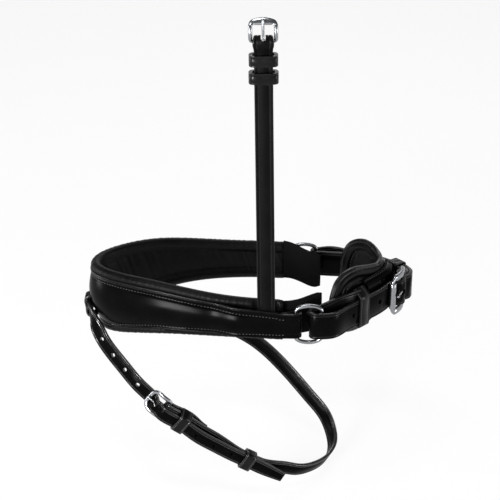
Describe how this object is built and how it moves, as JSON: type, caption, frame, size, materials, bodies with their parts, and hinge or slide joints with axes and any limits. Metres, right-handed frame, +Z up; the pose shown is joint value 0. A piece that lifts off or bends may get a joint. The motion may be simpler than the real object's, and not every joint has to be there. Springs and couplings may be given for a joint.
{
  "type": "flash noseband",
  "caption": "Padded horse noseband with a crank-style padded jaw strap on two rings, a flash strap held in a tab on the nose, and one upright cheek strap with a buckle.",
  "frame": {"origin": "middle of the opening for the horse's nose, level with the two rings, on the middle plane of the horse's head", "axes": "+X from the nose back to the jaw, +Y from the near (left) side to the far side, +Z up along the cheek strap"},
  "size_m": [0.2817, 0.1393, 0.4218],
  "materials": {
    "bridle_leather": "smooth waxed leather",
    "lining_leather": "soft matt leather",
    "padding": "foam",
    "polished_steel": "polished"
  },
  "bodies": {
    "noseband": {"nose_strap": "bridle_leather", "nose_raise_filler": "padding", "nose_lining": "lining_leather", "nose_pad_foam": "padding", "near_ring_guard": "lining_leather", "far_ring_guard": "lining_leather", "flash_tab": "bridle_leather", "cheek_strap_root": "bridle_leather"},
    "near_ring": {"near_ring": "polished_steel"},
    "far_ring": {"far_ring": "polished_steel"},
    "jaw_piece": {"crank_strap": "bridle_leather", "crank_keeper": "bridle_leather", "crank_rear_keeper": "bridle_leather", "jaw_pad_backing": "bridle_leather", "jaw_pad_foam": "padding", "jaw_pad_lining": "lining_leather", "jaw_pad_piping": "bridle_leather", "jaw_pad_sleeve": "bridle_leather"},
    "cheek_strap": {"cheek_strap": "bridle_leather", "cheek_fixed_keeper": "bridle_leather"},
    "cheek_sliding_keeper": {"cheek_sliding_keeper": "bridle_leather"},
    "cheek_buckle_frame": {"cheek_buckle_frame": "polished_steel"},
    "cheek_buckle_tongue": {"cheek_buckle_tongue": "polished_steel"},
    "crank_buckle_frame": {"crank_buckle_frame": "polished_steel"},
    "crank_buckle_tongue": {"crank_buckle_tongue": "polished_steel"},
    "crank_buckle_roller": {"crank_buckle_roller": "polished_steel"},
    "flash_strap": {"flash_strap": "bridle_leather", "flash_fixed_keeper": "bridle_leather"},
    "flash_sliding_keeper": {"flash_sliding_keeper": "bridle_leather"},
    "flash_buckle_frame": {"flash_buckle_frame": "polished_steel"},
    "flash_buckle_tongue": {"flash_buckle_tongue": "polished_steel"}
  },
  "joints": [
    {"name": "near_ring_swivel", "type": "hinge", "parent": "noseband", "child": "near_ring", "pos_m": [0.0374, -0.06, 0], "axis": [0, 0, 1], "range_deg": [-15, 15]},
    {"name": "jaw_swivel", "type": "hinge", "parent": "near_ring", "child": "jaw_piece", "pos_m": [0.0586, -0.06, 0], "axis": [0, 0, 1], "range_deg": [-15, 15]},
    {"name": "far_ring_swivel", "type": "hinge", "parent": "noseband", "child": "far_ring", "pos_m": [0.0374, 0.06, 0], "axis": [0, 0, 1], "range_deg": [-15, 15]},
    {"name": "cheek_strap_fold", "type": "hinge", "parent": "noseband", "child": "cheek_strap", "pos_m": [0.0131, -0.0605, 0.0245], "axis": [0.9999, 0, 0.0147], "range_deg": [-75, 75]},
    {"name": "cheek_keeper_slide", "type": "slide", "parent": "cheek_strap", "child": "cheek_sliding_keeper", "axis": [-0.0147, 0, 0.9999], "range_m": [-0.168, 0.0027]},
    {"name": "cheek_buckle_hinge", "type": "hinge", "parent": "cheek_strap", "child": "cheek_buckle_frame", "pos_m": [0.00992, -0.06345, 0.2416], "axis": [0.9999, 0, 0.0147], "range_deg": [-60, 30]},
    {"name": "cheek_tongue_hinge", "type": "hinge", "parent": "cheek_buckle_frame", "child": "cheek_buckle_tongue", "pos_m": [0.00992, -0.06345, 0.2416], "axis": [0.9999, 0, 0.0147], "range_deg": [0, 70]},
    {"name": "crank_buckle_hinge", "type": "hinge", "parent": "jaw_piece", "child": "crank_buckle_frame", "pos_m": [0.13066, 0.01514, 0], "axis": [0, 0, 1], "range_deg": [0, 1.5]},
    {"name": "crank_tongue_hinge", "type": "hinge", "parent": "crank_buckle_frame", "child": "crank_buckle_tongue", "pos_m": [0.13066, 0.01514, 0], "axis": [0, 0, 1], "range_deg": [0, 1.5]},
    {"name": "crank_roller_spin", "type": "hinge", "parent": "crank_buckle_frame", "child": "crank_buckle_roller", "pos_m": [0.121, -0.009, 0], "axis": [0, 0, 1], "continuous": true},
    {"name": "flash_swing", "type": "hinge", "parent": "noseband", "child": "flash_strap", "pos_m": [-0.13697, 0, -0.01367], "axis": [0, 1, 0], "range_deg": [-4, 4]},
    {"name": "flash_keeper_slide", "type": "slide", "parent": "flash_strap", "child": "flash_sliding_keeper", "axis": [0.8571, 0.0911, -0.507], "range_m": [-0.004, 0.004]},
    {"name": "flash_buckle_hinge", "type": "hinge", "parent": "flash_strap", "child": "flash_buckle_frame", "pos_m": [-0.07126, -0.05963, -0.08156], "axis": [0.6187, -0.036, 0.7848], "range_deg": [0, 1.5]},
    {"name": "flash_tongue_hinge", "type": "hinge", "parent": "flash_buckle_frame", "child": "flash_buckle_tongue", "pos_m": [-0.07126, -0.05963, -0.08156], "axis": [0.6187, -0.036, 0.7848], "range_deg": [0, 1.5]}
  ],
  "couplings": [
    {"joint": "jaw_swivel", "follows": "near_ring_swivel", "ratio": -1},
    {"joint": "far_ring_swivel", "follows": "near_ring_swivel", "ratio": 1}
  ]
}
